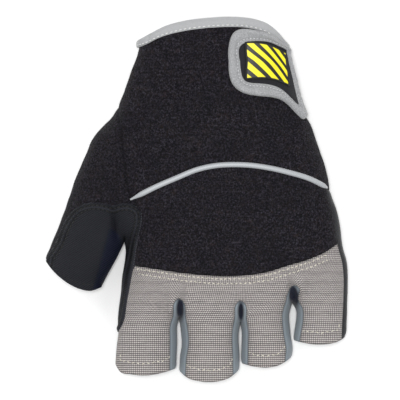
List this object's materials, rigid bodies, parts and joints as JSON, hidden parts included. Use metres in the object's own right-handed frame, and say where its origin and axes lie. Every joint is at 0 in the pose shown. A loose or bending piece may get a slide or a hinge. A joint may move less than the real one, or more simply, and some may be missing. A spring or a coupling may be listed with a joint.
{
  "type": "half-finger work glove",
  "caption": "Padded half-finger work glove lying on its palm, with a velour back, stretch knuckle panel, leather thumb patch and a wrist strap.",
  "frame": {"origin": "bottom centre of the glove's bounding box, on the surface it lies on", "axes": "+Y from the fingertips towards the cuff, +Z out of the back of the hand, -X towards the thumb"},
  "size_m": [0.1401, 0.1683, 0.0317],
  "materials": {
    "velour": "black napped velour",
    "knuckle_knit": "warm grey open weave",
    "fourchette_knit": "smooth blue-grey knit",
    "leather": "dark grained leather",
    "binding": "light grey woven tape",
    "heather": "heather grey knitted tape",
    "piping": "silver grey cord",
    "strap_core": "black woven",
    "badge": "moulded yellow and black"
  },
  "bodies": {
    "root": {"back_upper_panel": "velour", "back_lower_panel": "velour", "knuckle_panel": "knuckle_knit", "thumb_panel": "velour", "thumb_patch": "leather", "fourchette_index_middle": "fourchette_knit", "fourchette_middle_ring": "fourchette_knit", "fourchette_ring_little": "fourchette_knit", "palm_panel": "leather", "cuff_binding": "binding", "piping": "piping", "strap_tab": "strap_core", "strap_binding": "heather", "strap_badge": "badge"}
  },
  "joints": []
}
